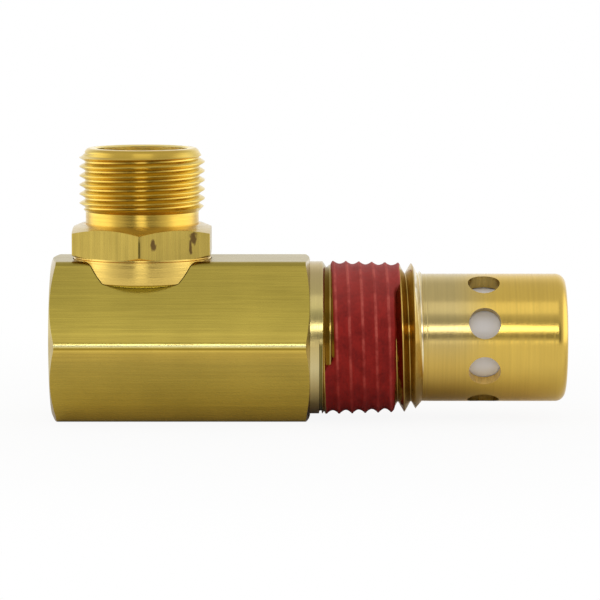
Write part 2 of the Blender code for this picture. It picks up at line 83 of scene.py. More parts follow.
camera_place = on_sphere(0.0, math.degrees(VIEW_ELEVATION), VIEW_DISTANCE)
bpy.ops.object.camera_add(location=camera_place, rotation=(math.pi / 2 - VIEW_ELEVATION, 0.0, 0.0))
camera = bpy.context.object
camera.name = "studio_camera"
camera.data.lens = LENS
camera.data.sensor_width = SENSOR
camera.data.clip_start = 0.01
camera.data.clip_end = 20.0
bpy.context.scene.camera = camera
print("camera", round(VIEW_DISTANCE / MM), "mm away with a", LENS, "mm lens")

# %% [markdown]
# ## The studio
# Bare metal has hardly any colour of its own: it shows the room. The room here is a pale tent with bright
# side walls, a soft panel above, a small lamp close to the camera and a darker patch where the camera
# stands. The world carries the tent as a smooth gradient, and area lamps carry the panels, because lamps
# also give the soft shadow under the valve.

# %% Shader helpers


def fill(tree, node, inputs):
    """Give a node's inputs numbers, colours or other nodes' output sockets."""
    for key, value in inputs.items():
        if isinstance(value, bpy.types.NodeSocket):
            tree.links.new(value, node.inputs[key])
        else:
            node.inputs[key].default_value = value


def add_node(tree, kind, inputs=None, **settings):
    """Add a shader node, set it and fill its inputs."""
    node = tree.nodes.new(kind)
    for key, value in settings.items():
        setattr(node, key, value)
    fill(tree, node, inputs or {})
    return node


def maths(tree, operation, *values):
    """A Math node on sockets or numbers. Returns its output."""
    return add_node(tree, "ShaderNodeMath", dict(enumerate(values)), operation=operation).outputs[0]


def chain(tree, operation, first, *others):
    """One Math operation over any count of sockets or numbers."""
    for value in others:
        first = maths(tree, operation, first, value)
    return first


def map_range(tree, value, low, high, to_low=0.0, to_high=1.0, kind="SMOOTHSTEP"):
    """Map a value between two limits to another range."""
    limits = {"Value": value, "From Min": low, "From Max": high, "To Min": to_low, "To Max": to_high}
    return add_node(tree, "ShaderNodeMapRange", limits, interpolation_type=kind).outputs["Result"]


# %% World
WHITE = (1.0, 1.0, 1.0, 1.0)
TENT_GLOW = 0.72
scene = bpy.context.scene
scene.view_settings.view_transform = "Standard"
world = bpy.data.worlds.new("studio_tent")
scene.world = world
world.use_nodes = True
tent = world.node_tree
tent.nodes.clear()
where = add_node(tent, "ShaderNodeTexCoord").outputs["Generated"]


def patch(azimuth, elevation, edge, core, strength):
    """A soft round patch of the tent. Its edge and core are cosines of the angle from its middle."""
    towards = (on_sphere(azimuth, elevation, 1.0) - AIM)[:]
    nearness = add_node(tent, "ShaderNodeVectorMath", {0: where, 1: towards}, operation="DOT_PRODUCT")
    return map_range(tent, nearness.outputs["Value"], edge, core, 0.0, strength)


left_wall = patch(-95.0, 4.0, 0.66, 0.985, 1.15)
right_wall = patch(95.0, 4.0, 0.66, 0.985, 1.15)
back_wall = patch(180.0, 6.0, 0.55, 0.98, 0.32)
low_card = patch(0.0, -9.0, 0.972, 0.992, 1.5)
dark_patch = patch(0.0, 2.0, 0.66, 0.96, 0.50)
glow = chain(tent, "ADD", left_wall, right_wall, back_wall, low_card, TENT_GLOW)
glow = maths(tent, "SUBTRACT", glow, dark_patch)
tent_light = add_node(tent, "ShaderNodeBackground", {"Color": WHITE, "Strength": glow}).outputs[0]
backdrop = add_node(tent, "ShaderNodeBackground", {"Color": WHITE, "Strength": 1.0}).outputs[0]
to_camera = add_node(tent, "ShaderNodeLightPath").outputs["Is Camera Ray"]
mix = add_node(tent, "ShaderNodeMixShader", {0: to_camera, 1: tent_light, 2: backdrop})
add_node(tent, "ShaderNodeOutputWorld", {0: mix.outputs[0]})
print("the tent has", len(tent.nodes), "nodes")

# %% Lamps
LAMP_DISTANCE = 0.62


def soft_lamp(name, azimuth, elevation, width, height, radiance):
    """A panel that faces the valve. Its power follows from its size and how bright it looks."""
    place = on_sphere(azimuth, elevation, LAMP_DISTANCE)
    bpy.ops.object.light_add(type="AREA", location=place)
    lamp = bpy.context.object
    lamp.name = name
    lamp.data.shape = "RECTANGLE"
    lamp.data.size = width
    lamp.data.size_y = height
    lamp.data.energy = radiance * math.pi * width * height
    lamp.rotation_euler = (AIM - place).to_track_quat("-Z", "Y").to_euler()
    return lamp


key = soft_lamp("camera_lamp", azimuth=-1.0, elevation=20.8, width=0.26, height=0.090, radiance=4.9)
top = soft_lamp("top_panel", azimuth=0.0, elevation=60.5, width=0.30, height=0.26, radiance=0.43)
print("lamps", [(lamp.name, round(lamp.data.energy, 3)) for lamp in (key, top)])

# %% [markdown]
# ## The floor
# The valve lies on a round white board. To the camera the board is mostly plain white, with part of its
# real shading left in near the valve so that it keeps its shadow, and it fades into the white behind it.
# The metal sees it a little whiter than it is lit, as it sees the rest of the white studio.

# %% Floor
FLOOR_RADIUS = 0.19
FLOOR_DROP = 0.02 * MM


def length(tree, vector):
    """The length of a vector socket."""
    return add_node(tree, "ShaderNodeVectorMath", {0: vector}, operation="LENGTH").outputs["Value"]


def place_in(tree):
    """The material's Object coordinates, from a node that it has once."""
    node = tree.nodes.get("place") or add_node(tree, "ShaderNodeTexCoord", name="place")
    return node.outputs["Object"]


def position(tree, axis):
    """One Object coordinate, as a socket."""
    return add_node(tree, "ShaderNodeSeparateXYZ", {0: place_in(tree)}).outputs[axis]


bpy.ops.object.select_all(action="DESELECT")
bpy.ops.mesh.primitive_circle_add(
    vertices=128, radius=FLOOR_RADIUS, fill_type="NGON", location=(0.0, 0.0, rest_height - FLOOR_DROP)
)
floor = bpy.context.object
floor.name = "studio_floor"
floor_paint = bpy.data.materials.new("floor_paint")
floor_paint.use_nodes = True
paint = floor_paint.node_tree
paint.nodes.clear()
matt = add_node(paint, "ShaderNodeBsdfDiffuse", {"Color": (0.84, 0.83, 0.815, 1.0)}).outputs[0]
plain = add_node(paint, "ShaderNodeEmission", {"Color": WHITE, "Strength": 1.0}).outputs[0]
ray_kinds = add_node(paint, "ShaderNodeLightPath").outputs
fade = map_range(paint, length(paint, place_in(paint)), 0.03, 0.12, 0.91, 1.0)
seen = maths(paint, "MULTIPLY", ray_kinds["Is Camera Ray"], fade)
aside = maths(paint, "ABSOLUTE", position(paint, "Y"))
lift_share = map_range(paint, aside, 0.004, 0.017, 0.0, 0.5)
mirrored = maths(paint, "MULTIPLY", ray_kinds["Is Glossy Ray"], lift_share)
white_share = maths(paint, "ADD", seen, mirrored)
both = add_node(paint, "ShaderNodeMixShader", {0: white_share, 1: matt, 2: plain})
add_node(paint, "ShaderNodeOutputMaterial", {0: both.outputs[0]})
floor.data.materials.append(floor_paint)
print("floor", FLOOR_RADIUS, "m in radius")

# %% [markdown]
# ## Finishes
# Each finish is one Principled shader whose roughness and bump vary as the tool left them, and whose
# colour varies with them and also carries painted light and shade: drawn bar has fine lines along its
# length, turned brass has rings round its axis. The patterns read Object coordinates, squeezed along one
# direction by a Mapping node, so they are fixed to the metal.

# %% Helpers for finishes
HEX_ACROSS_FLATS = 22.225 * MM
AXIS_HEIGHT = rest_height + HEX_ACROSS_FLATS / 2
ORIGIN = {"X": hex_end, "Y": 0.0, "Z": AXIS_HEIGHT}


def set_finish(tree, inputs):
    """Fill inputs of a material's Principled shader."""
    fill(tree, tree.nodes["Principled BSDF"], inputs)


def new_finish(name, roughness, metallic):
    """A material and its node tree."""
    material = bpy.data.materials.new(name)
    material.use_nodes = True
    set_finish(material.node_tree, {"Roughness": roughness, "Metallic": metallic})
    return material, material.node_tree


def grain(tree, stretch, detail=3.0, shift=(0.0, 0.0, 0.0)):
    """Noise whose cells are 1/stretch metres long in each direction. Returns its value, 0 to 1."""
    placing = {"Vector": place_in(tree), "Scale": stretch, "Location": shift}
    mapping = add_node(tree, "ShaderNodeMapping", placing)
    pattern = {"Vector": mapping.outputs[0], "Scale": 1.0, "Detail": detail}
    return add_node(tree, "ShaderNodeTexNoise", pattern).outputs["Fac"]


def blend(tree, share, first, second):
    """A colour between two, each a tuple or a socket, by a share from 0 to 1."""
    node = add_node(tree, "ShaderNodeMix", {"Factor": share}, data_type="RGBA", blend_type="MIX")
    sockets = [s for s in node.inputs if s.type == "RGBA"]
    for socket, value in zip(sockets, (first, second)):
        if isinstance(value, tuple):
            socket.default_value = (*value, 1.0)
        else:
            tree.links.new(value, socket)
    return next(s for s in node.outputs if s.type == "RGBA")


def relief(tree, height, depth):
    """Bump of this depth in metres from a 0 to 1 height."""
    bump = add_node(tree, "ShaderNodeBump", {"Distance": depth, "Strength": 1.0, "Height": height})
    set_finish(tree, {"Normal": bump.outputs["Normal"]})


def zone(tree, axis, start, full, to_low=0.0, to_high=1.0):
    """Rise from one place on an axis to another, in mm from the bar's plain end and the valve's axis."""
    low = ORIGIN[axis] + start * MM
    high = ORIGIN[axis] + full * MM
    return map_range(tree, position(tree, axis), low, high, to_low, to_high)


def blotch(tree, centre, spread, edge=0.4):
    """A ragged spot, 1 at its middle and 0 outside. Centre and spread are in mm, as in a zone."""
    placing = {
        "Vector": place_in(tree),
        "Location": [ORIGIN[axis] + value * MM for axis, value in zip("XYZ", centre)],
        "Scale": [value * MM for value in spread],
    }
    mapping = add_node(tree, "ShaderNodeMapping", placing, vector_type="TEXTURE")
    ragged = maths(tree, "MULTIPLY", grain(tree, (1900.0, 1900.0, 1500.0), 4.0), 1.1)
    reach = maths(tree, "ADD", length(tree, mapping.outputs[0]), ragged)
    return map_range(tree, reach, 0.9, 0.9 + edge, 1.0, 0.0)


# %% [markdown]
# Brass isn't one colour. The collar is paler, the nose turns more golden towards its end, and the bar's
# edges carry a painted highlight, brighter than its faces. Each finish below blends a few tones by place,
# many of them painted light and shade, and then scratches and clouds vary them a little.

# %% Brass


def brass(name, roughness, rings, lines, depth, contrast):
    """Brass with tool marks. Returns the material and what its colour needs: its tree and tone."""
    material, tree = new_finish(name, roughness, 1.0)
    marks = grain(tree, rings, 4.0)
    fine = grain(tree, lines, 2.0, shift=(3.1, 1.7, 5.3))
    clouds = maths(tree, "MULTIPLY", grain(tree, (160.0, 160.0, 160.0)), 0.45)
    tone = maths(tree, "ADD", maths(tree, "MULTIPLY", marks, 0.55), clouds)
    tone = map_range(tree, tone, 0.36, 0.64, 1.0 - contrast, 1.0 + contrast * 0.5, "LINEAR")
    polish = map_range(tree, fine, 0.3, 0.7, roughness - 0.04, roughness + 0.05)
    set_finish(tree, {"Roughness": polish})
    relief(tree, maths(tree, "ADD", marks, maths(tree, "MULTIPLY", fine, 0.5)), depth)
    return material, tree, tone


def layers(tree, colour, *coats):
    """Paint (share, colour) pairs over a colour, one after another."""
    for share, coat in coats:
        colour = blend(tree, share, colour, coat)
    return colour


def paint_metal(tree, tone, colour, *coats):
    """Layer the coats over a colour, scale the result by a tone, and give it to the shader."""
    scaled = {0: layers(tree, colour, *coats), "Scale": tone}
    node = add_node(tree, "ShaderNodeVectorMath", scaled, operation="SCALE")
    set_finish(tree, {"Base Color": node.outputs[0]})


# %% [markdown]
# Drawn bar. Its tone is a Color Ramp by height that paints light and shade on it: painted shade towards
# the bottom edge and towards the top, a painted dark line and a painted highlight close together at the
# corner between the two faces, where a rounded edge would catch the lamp, and a faint lighter line above
# them.

# %% Drawn bar
# Painted light and shade by height: the stops near 0.5 are a painted dark line and a painted highlight.
BAR_PAINTED_LIGHT_TONES = (
    (0.00, (0.36, 0.240, 0.043)),
    (0.12, (0.49, 0.340, 0.051)),
    (0.25, (0.475, 0.338, 0.056)),
    (0.38, (0.475, 0.340, 0.062)),
    (0.460, (0.59, 0.410, 0.075)),
    (0.470, (0.68, 0.480, 0.088)),
    (0.477, (0.78, 0.560, 0.110)),
    (0.482, (0.56, 0.380, 0.055)),
    (0.487, (0.34, 0.220, 0.025)),
    (0.492, (0.40, 0.270, 0.036)),
    (0.497, (0.62, 0.470, 0.110)),
    (0.502, (0.90, 0.750, 0.280)),
    (0.507, (1.00, 0.950, 0.500)),
    (0.513, (1.00, 0.930, 0.450)),
    (0.517, (0.74, 0.590, 0.160)),
    (0.524, (0.56, 0.430, 0.085)),
    (0.534, (0.53, 0.400, 0.074)),
    (0.564, (0.50, 0.380, 0.070)),
    (0.574, (0.575, 0.440, 0.082)),
    (0.585, (0.495, 0.378, 0.0685)),
    (0.64, (0.455, 0.350, 0.062)),
    (0.78, (0.40, 0.308, 0.054)),
    (1.00, (0.385, 0.295, 0.054)),
)


def tones_by_height(tree, tones):
    """Colour by height over the bar's lower flat, as shares of its width across flats."""
    height = maths(tree, "SUBTRACT", position(tree, "Z"), rest_height)
    ramp = add_node(tree, "ShaderNodeValToRGB", {0: maths(tree, "DIVIDE", height, HEX_ACROSS_FLATS)})
    stops = ramp.color_ramp.elements
    stops[1].position = 1.0
    for share, colour in tones[1:-1]:
        stops.new(share)
    for stop, (share, colour) in zip(stops, tones):
        stop.position = share
        stop.color = (*colour, 1.0)
    return ramp.outputs["Color"]


drawn_brass, tree, tone = brass(
    "drawn_brass", 0.27, (60.0, 4200.0, 4200.0), (160.0, 9000.0, 9000.0), 0.004 * MM, 0.12
)
paint_metal(tree, tone, tones_by_height(tree, BAR_PAINTED_LIGHT_TONES))
print(drawn_brass.name, "has", len(tree.nodes), "nodes")

# %% [markdown]
# The turned ends are one material, because they are one cut. Zones along the axis tell the collar, the
# groove behind it and the nose apart, and zones by height paint each one's lit and shaded sides, as
# painted reflections and painted shade. The groove and a nick in the front of the collar are painted
# darker with
# shade: the nick's shape is cut later, with the collar.

# %% Turned ends
# Painted light and shade on the collar by height: darker at the bottom, a painted reflection below the
# middle.
COLLAR_PAINTED_LIGHT_TONES = (
    (0.03, (0.33, 0.205, 0.065)),
    (0.112, (0.39, 0.300, 0.115)),
    (0.21, (0.53, 0.420, 0.175)),
    (0.358, (0.67, 0.565, 0.280)),
    (0.50, (0.58, 0.450, 0.175)),
    (0.70, (0.55, 0.460, 0.170)),
    (0.95, (0.52, 0.400, 0.180)),
)
# Painted shade in the groove behind the collar and in the nick.
GROOVE_SHADE = (0.36, 0.26, 0.07)
NICK_SHADE = (0.22, 0.18, 0.05)
# The nose's upper side is paler with a painted reflection, and its underside darker with painted shade.
NOSE_TOP_REFLECTION = (0.56, 0.435, 0.175)
NOSE_BELOW = (0.65, 0.44, 0.10)
NOSE_TIP = (0.72, 0.49, 0.10)
NOSE_UNDER_SHADE = (0.50, 0.32, 0.06)
turned_brass, tree, tone = brass(
    "turned_brass", 0.20, (3600.0, 40.0, 40.0), (9000.0, 200.0, 200.0), 0.004 * MM, 0.07
)
nose_colour = layers(
    tree, NOSE_TOP_REFLECTION, (zone(tree, "Z", 3.0, -4.0), NOSE_BELOW),
    (zone(tree, "Z", -4.5, -7.5), NOSE_UNDER_SHADE), (zone(tree, "X", 55.0, 62.0), NOSE_TIP),
)
in_nick = chain(
    tree, "MULTIPLY", zone(tree, "X", 37.06, 37.10), zone(tree, "X", 37.47, 37.43),
    zone(tree, "Z", 0.6, -0.2),
)
paint_metal(
    tree, tone, tones_by_height(tree, COLLAR_PAINTED_LIGHT_TONES), (zone(tree, "X", 37.5, 37.7), GROOVE_SHADE),
    (in_nick, NICK_SHADE), (zone(tree, "X", 42.0, 43.0), nose_colour),
)
print(turned_brass.name, "has", len(tree.nodes), "nodes")

# %% [markdown]
# The thread's flanks are darker than the turned ends, apart from the chamfer at its end, which carries a
# painted reflection and is nearly white. Bored holes are rougher: a drill leaves coarser rings than a
# lathe tool. The lower ports' walls that face up are painted light, and the side port painted shade.

# %% Threads and bores
TANK_THREAD_TONE = (0.50, 0.33, 0.075)
THREAD_END_REFLECTION = (0.95, 0.86, 0.64)
BORE_TONE = (0.56, 0.41, 0.12)
LIT_PORT_WALL = (0.90, 0.66, 0.22)
SIDE_PORT_SHADE = (0.40, 0.31, 0.07)
thread_brass, tree, tone = brass(
    "thread_brass", 0.20, (1500.0, 300.0, 300.0), (6000.0, 900.0, 900.0), 0.002 * MM, 0.22
)
# Painted reflection: the thread's end chamfer is painted nearly white.
cut_end = zone(tree, "X", 50.1, 50.35)
paint_metal(tree, tone, TANK_THREAD_TONE, (cut_end, THREAD_END_REFLECTION))
bored_brass, tree, tone = brass(
    "bored_brass", 0.30, (2500.0, 60.0, 60.0), (5000.0, 300.0, 300.0), 0.004 * MM, 0.2
)
# Painted light on the upward-facing walls of the lower ports, and painted shade in the side port.
low_port = zone(tree, "Z", -3.2, -3.8)
facing_up = maths(tree, "SUBTRACT", low_port, zone(tree, "Z", -6.4, -6.9))
in_side_port = zone(tree, "X", 36.0, 35.0)
paint_metal(tree, tone, BORE_TONE, (facing_up, LIT_PORT_WALL), (in_side_port, SIDE_PORT_SHADE))
print(thread_brass.name, "and", bored_brass.name)

# %% [markdown]
# The fitting is a second bar of brass, a warmer one. Its turned parts step from tone to tone up its
# height: underside, shoulder, neck, thread and the rim of its mouth. Painted shade darkens the underside,
# and painted reflections lighten the thread's two sides, the hexagon's top chamfer and the mouth. Its
# flats keep the bar's drawn lines, with painted shade on the corner nearest the viewer and two brown
# stains.

# %% Inlet fitting, turned
INLET_STATION = 12.5
INLET_PLACE = hex_end + INLET_STATION * MM
SHOULDER_TONE = (0.78, 0.55, 0.135)
NECK_TONE = (0.70, 0.455, 0.075)
TUBE_THREAD_TONE = (0.61, 0.410, 0.070)
# Painted reflection: the tube thread is paler on its left and right sides.
THREAD_SIDE_REFLECTION = (0.76, 0.560, 0.120)
# Painted reflection, bright, inside the mouth.
MOUTH_REFLECTION = (1.0, 0.82, 0.32)
# Painted shade under the shoulder.
UNDERSIDE_SHADE = (0.62, 0.53, 0.17)
# Painted reflection, paler, on the hexagon's top chamfer.
SHELF_REFLECTION = (0.63, 0.49, 0.22)


def from_inlet(tree):
    """Distance from the fitting's own axis, in metres."""
    placing = {"Vector": place_in(tree), "Location": (-INLET_PLACE, 0.0, 0.0), "Scale": (1.0, 1.0, 0.0)}
    return length(tree, add_node(tree, "ShaderNodeMapping", placing).outputs[0])


fitting_brass, tree, tone = brass(
    "fitting_brass", 0.20, (40.0, 40.0, 3600.0), (200.0, 200.0, 9000.0), 0.012 * MM, 0.10
)
reach = from_inlet(tree)
aside = maths(tree, "SUBTRACT", position(tree, "X"), INLET_PLACE)
at_side = map_range(tree, maths(tree, "ABSOLUTE", aside), 4.5 * MM, 7.5 * MM)
thread_colour = blend(tree, at_side, TUBE_THREAD_TONE, THREAD_SIDE_REFLECTION)
upper_colour = blend(tree, zone(tree, "Z", 17.09, 17.69), NECK_TONE, thread_colour)
on_shelf = chain(
    tree, "MULTIPLY", map_range(tree, reach, 8.1 * MM, 8.2 * MM), zone(tree, "Z", 14.29, 14.49),
    zone(tree, "Z", 16.59, 16.29),
)
paint_metal(
    tree, tone, SHOULDER_TONE, (zone(tree, "Z", 11.89, 15.89), upper_colour),
    (zone(tree, "Z", 8.11, 7.97), UNDERSIDE_SHADE),
    (map_range(tree, reach, 7.36 * MM, 7.30 * MM), MOUTH_REFLECTION), (on_shelf, SHELF_REFLECTION),
)
print(fitting_brass.name, "has", len(tree.nodes), "nodes")

# %% Inlet fitting, bar
FITTING_BAR_TONE = (0.445, 0.325, 0.070)
# Painted shade on the hexagon's corner nearest the viewer.
CORNER_SHADE = (0.12, 0.085, 0.018)
STAIN = (0.085, 0.040, 0.018)
fitting_bar, tree, tone = brass(
    "fitting_bar", 0.26, (1500.0, 1500.0, 40.0), (6000.0, 6000.0, 120.0), 0.005 * MM, 0.20
)
on_corner = chain(
    tree, "MULTIPLY", map_range(tree, from_inlet(tree), 10.90 * MM, 10.93 * MM, 0.0, 0.8),
    zone(tree, "Y", -9.8, -10.4), zone(tree, "Z", 14.69, 13.89),
)
stains = chain(
    tree, "MAXIMUM", blotch(tree, (INLET_STATION + 1.85, -9.8, 13.69), (0.75, 2.0, 1.4)),
    blotch(tree, (INLET_STATION + 7.25, -6.7, 14.49), (0.75, 1.6, 1.5)),
    blotch(tree, (INLET_STATION + 6.9, -7.0, 13.19), (0.35, 1.6, 1.8)),
)
stains = maths(tree, "MULTIPLY", stains, 0.85)
paint_metal(tree, tone, FITTING_BAR_TONE, (on_corner, CORNER_SHADE), (stains, STAIN))
print(fitting_bar.name, "has", len(tree.nodes), "nodes")

# %% [markdown]
# The red sealant is a matt coat. Its colour paints light and shade: painted shade in the thread's roots,
# painted highlights on the crests, stronger towards the top, and a pale painted sheen over its upper side.
# Where a point lies between root and crest follows from its station and its angle round the axis, so the
# shader works out the same helix as the thread.

# %% Dried sealant finish
TANK_PITCH = 25.4 / 14 * MM
TANK_CREST_ON_TOP = 39.0 * MM
TOP_SHEEN_TONE = (0.46, 0.085, 0.070)
DARK_SPOT_TONE = (0.03, 0.002, 0.001)
red_coat, tree = new_finish("dried_sealant", 0.62, 0.0)
clouds = grain(tree, (420.0, 420.0, 420.0), 5.0)
specks = grain(tree, (2600.0, 2600.0, 2600.0), 3.0)
towards_front = maths(tree, "MULTIPLY", position(tree, "Y"), -1.0)
upwards = maths(tree, "SUBTRACT", position(tree, "Z"), AXIS_HEIGHT)
spun = maths(tree, "ARCTAN2", towards_front, upwards)
station = maths(tree, "SUBTRACT", position(tree, "X"), hex_end + TANK_CREST_ON_TOP)
phase = maths(tree, "SUBTRACT", maths(tree, "MULTIPLY", station, math.tau / TANK_PITCH), spun)
wave = maths(tree, "COSINE", phase)
mottle = maths(tree, "MULTIPLY", clouds, 0.6)
mottle = maths(tree, "ADD", maths(tree, "MULTIPLY", specks, 0.4), mottle)
coat_tone = map_range(tree, mottle, 0.38, 0.62, kind="LINEAR")
# The roots keep the darker colour as painted shade; the crest colour is a painted highlight, stronger
# towards the top.
root_colour = blend(tree, coat_tone, (0.200, 0.0048, 0.0027), (0.335, 0.0120, 0.0072))
crest_highlight = blend(tree, coat_tone, (0.36, 0.036, 0.026), (0.50, 0.085, 0.062))
on_crest = chain(
    tree, "MULTIPLY", map_range(tree, wave, 0.62, 1.0), zone(tree, "Z", -8.0, 4.0, 0.35, 1.0),
    map_range(tree, clouds, 0.42, 0.58, 0.35, 1.0),
)
# Painted sheen, paler over the coat's upper side.
top_sheen = zone(tree, "Z", 2.0, 10.0, 0.0, 0.35)
# A small dark spot on the coat, colour only.
dark_spot = blotch(tree, (47.45, -6.4, 8.0), (0.22, 0.5, 0.30), 0.3)
coat_colour = layers(tree, root_colour, (on_crest, crest_highlight), (top_sheen, TOP_SHEEN_TONE), (dark_spot, DARK_SPOT_TONE))
set_finish(tree, {"Base Color": coat_colour, "Specular IOR Level": 0.22})
relief(tree, specks, 0.012 * MM)
print(red_coat.name, "has", len(tree.nodes), "nodes")

# %% [markdown]
# The poppet is turned from white PTFE and the spring is drawn steel wire. Both are nearly even, so one
# helper gives each a single pattern that varies its colour and its height a little.

# %% PTFE and steel


def even_finish(name, roughness, metallic, stretch, dark, light, depth):
    """A finish with one pattern, between two tones and this deep."""
    material, tree = new_finish(name, roughness, metallic)
    marks = grain(tree, stretch)
    set_finish(tree, {"Base Color": blend(tree, marks, dark, light)})
    relief(tree, marks, depth)
    return material


PTFE_TONES = ((0.89, 0.865, 0.885), (0.93, 0.915, 0.93))
STEEL_TONES = ((0.52, 0.53, 0.545), (0.62, 0.625, 0.63))
white_ptfe = even_finish("white_ptfe", 0.42, 0.0, (2600.0, 60.0, 60.0), *PTFE_TONES, 0.002 * MM)
spring_wire = even_finish("spring_steel", 0.28, 1.0, (1500.0, 1500.0, 1500.0), *STEEL_TONES, 0.001 * MM)
print("even finishes:", white_ptfe.name, "and", spring_wire.name)

# %% [markdown]
# ## A lathe, a die and a saw
# Nearly every surface of the valve is turned, so the first tool is a lathe: a plane merged to one point,
# extruded along half of the section, and spun. The second is a die: one tooth repeated by a Screw
# modifier, which gives a true helix. Pieces are then joined and bored with Booleans, as on the machine.

# %% Axes and the lathe
VALVE_AXIS = (Vector((hex_end, 0.0, AXIS_HEIGHT)), Vector((1.0, 0.0, 0.0)), Vector((0.0, 0.0, 1.0)))
INLET_AXIS = (Vector((INLET_PLACE, 0.0, AXIS_HEIGHT)), Vector((0.0, 0.0, 1.0)), Vector((0.0, -1.0, 0.0)))
ROUND_STEPS = 192
MERGE = 0.0005 * MM


def swung(axis, degrees):
    """The same axis with its section plane turned, so that two pieces' facets never line up."""
    start, along, outward = axis
    angle = math.radians(degrees)
    return start, along, outward * math.cos(angle) + along.cross(outward) * math.sin(angle)


def pick(piece):
    """Select one object alone and make it active."""
    bpy.ops.object.select_all(action="DESELECT")
    piece.select_set(True)
    bpy.context.view_layer.objects.active = piece


def settle(piece):
    """Bring the object's origin to the frame's, with its place in its mesh."""
    pick(piece)
    bpy.ops.object.transform_apply(location=True, rotation=True, scale=True)
    return piece


def draw_section(name, axis, points, origin=0.0):
    """Draw half of a section, in (station, radius) pairs, one extruded point after another."""
    start, along, outward = axis
    base = start + along * origin
    bpy.ops.object.select_all(action="DESELECT")
    bpy.ops.mesh.primitive_plane_add(size=MM, location=base)
    piece = bpy.context.object
    piece.name = name
    bpy.ops.object.mode_set(mode="EDIT")
    bpy.ops.mesh.merge(type="CENTER")
    places = [start + along * station + outward * radius for station, radius in points]
    bpy.ops.transform.translate(value=places[0] - base)
    for before, after in zip(places, places[1:]):
        bpy.ops.mesh.extrude_vertices_move(TRANSFORM_OT_translate={"value": after - before})
    return piece


def modify(piece, kind, **settings):
    """Add a modifier, set it and apply it."""
    pick(piece)
    bpy.ops.object.modifier_add(type=kind)
    modifier = piece.modifiers[-1]
    for key, value in settings.items():
        setattr(modifier, key, value)
    bpy.ops.object.modifier_apply(modifier=modifier.name)


def edit_all():
    """Enter edit mode with everything selected."""
    bpy.ops.object.mode_set(mode="EDIT")
    bpy.ops.mesh.select_all(action="SELECT")


def close_up(piece):
    """Merge what coincides and turn every face outwards. Ends edit mode."""
    bpy.ops.mesh.select_all(action="SELECT")
    bpy.ops.mesh.remove_doubles(threshold=MERGE)
    bpy.ops.mesh.normals_make_consistent(inside=False)
    bpy.ops.object.mode_set(mode="OBJECT")
    return settle(piece)


def turned(name, axis, points, finish, steps=ROUND_STEPS):
    """Spin a section round its axis."""
    piece = draw_section(name, axis, points)
    bpy.ops.mesh.select_all(action="SELECT")
    bpy.ops.mesh.spin(steps=steps, angle=math.tau, center=axis[0], axis=axis[1])
    close_up(piece)
    piece.data.materials.append(finish)
    return piece


def corner_arc(centre, radius, start, end, steps):
    """Points of a rounded corner in a section, from one angle to another in degrees."""
    angles = [math.radians(start + (end - start) * step / steps) for step in range(steps + 1)]
    return [(centre[0] + radius * math.cos(a), centre[1] + radius * math.sin(a)) for a in angles]


# %% Booleans and shading
SMOOTH_LIMIT = math.radians(24.0)
SLIVER = 0.003 * MM


def combine(piece, tool, operation):
    """Join, cut or intersect with another solid, which keeps its finish on its faces."""
    modify(piece, "BOOLEAN", operation=operation, solver="EXACT", material_mode="TRANSFER", object=tool)
    bpy.data.objects.remove(tool, do_unlink=True)
    return piece


def smooth(piece, limit=SMOOTH_LIMIT):
    """Clear the slivers that Booleans leave, and shade smooth with sharp edges kept crisp."""
    pick(piece)
    edit_all()
    bpy.ops.mesh.remove_doubles(threshold=SLIVER)
    bpy.ops.mesh.dissolve_degenerate(threshold=SLIVER)
    bpy.ops.object.mode_set(mode="OBJECT")
    bpy.ops.object.shade_smooth_by_angle(angle=limit)
    modify(piece, "WEIGHTED_NORMAL", mode="CORNER_ANGLE", weight=50, keep_sharp=True)
    return piece


def report(piece):
    """Print a piece's size, and whether every edge has two faces."""
    edges = {}
    for face in piece.data.polygons:
        for key in face.edge_keys:
            edges[key] = edges.get(key, 0) + 1
    open_edges = sum(count != 2 for count in edges.values())
    corners = [piece.matrix_world @ Vector(c) for c in piece.bound_box]
    low = [round(min(c[i] for c in corners) / MM, 2) for i in range(3)]
    high = [round(max(c[i] for c in corners) / MM, 2) for i in range(3)]
    print(piece.name, len(piece.data.polygons), "faces,", open_edges, "open edges,", low, high)


# %% The die


def reshape(piece, axis, rule):
    """Move each point to the radius that a rule gives for its station, radius and angle."""
    start, along, outward = axis
    side = along.cross(outward)
    for vertex in piece.data.vertices:
        arm = vertex.co - start
        station = arm.dot(along)
        out = arm - along * station
        radius = out.length
        if radius > 1e-7:
            angle = math.atan2(out.dot(side), out.dot(outward)) % math.tau
            new_radius = rule(station, radius, angle)
            vertex.co = start + along * station + out * (new_radius / radius)


def threaded_rod(name, axis, tooth, pitch, first, last, finish):
    """One tooth, wound round the axis and sawn off square at both ends."""
    start, along, outward = axis
    origin = tooth[0][0]
    piece = draw_section(name, axis, tooth, origin)
    bpy.ops.object.mode_set(mode="OBJECT")
    modify(
        piece, "SCREW", axis="X" if along.x > 0.5 else "Z", angle=math.tau, screw_offset=pitch,
        iterations=math.ceil((last - origin) / pitch) + 1, steps=ROUND_STEPS,
        render_steps=ROUND_STEPS,
    )
    edit_all()
    bpy.ops.mesh.remove_doubles(threshold=MERGE)
    for station, side in ((first, -1.0), (last, 1.0)):
        bpy.ops.mesh.select_all(action="SELECT")
        cut = {"plane_co": start + along * station, "plane_no": along * side, "threshold": 0.0001 * MM}
        bpy.ops.mesh.bisect(**cut, use_fill=True, clear_outer=True)
    close_up(piece)
    piece.data.materials.append(finish)
    return piece


# %% [markdown]
# ## The body
# The body is one length of hexagonal brass bar. Its end is turned down to a collar, a taper pipe thread
# and a nose, and its corners are rounded from drawing. It starts as a six-sided cylinder with bevelled
# corners, cut to a turned envelope, which leaves the curved chamfers that a hexagon gets in a lathe.

# %% Hexagonal bar
HEX_LENGTH = 35.8 * MM
HEX_CORNER_RADIUS = 1.5 * MM
CORNER_SEGMENTS = 8
OVERSHOOT = 1.0 * MM


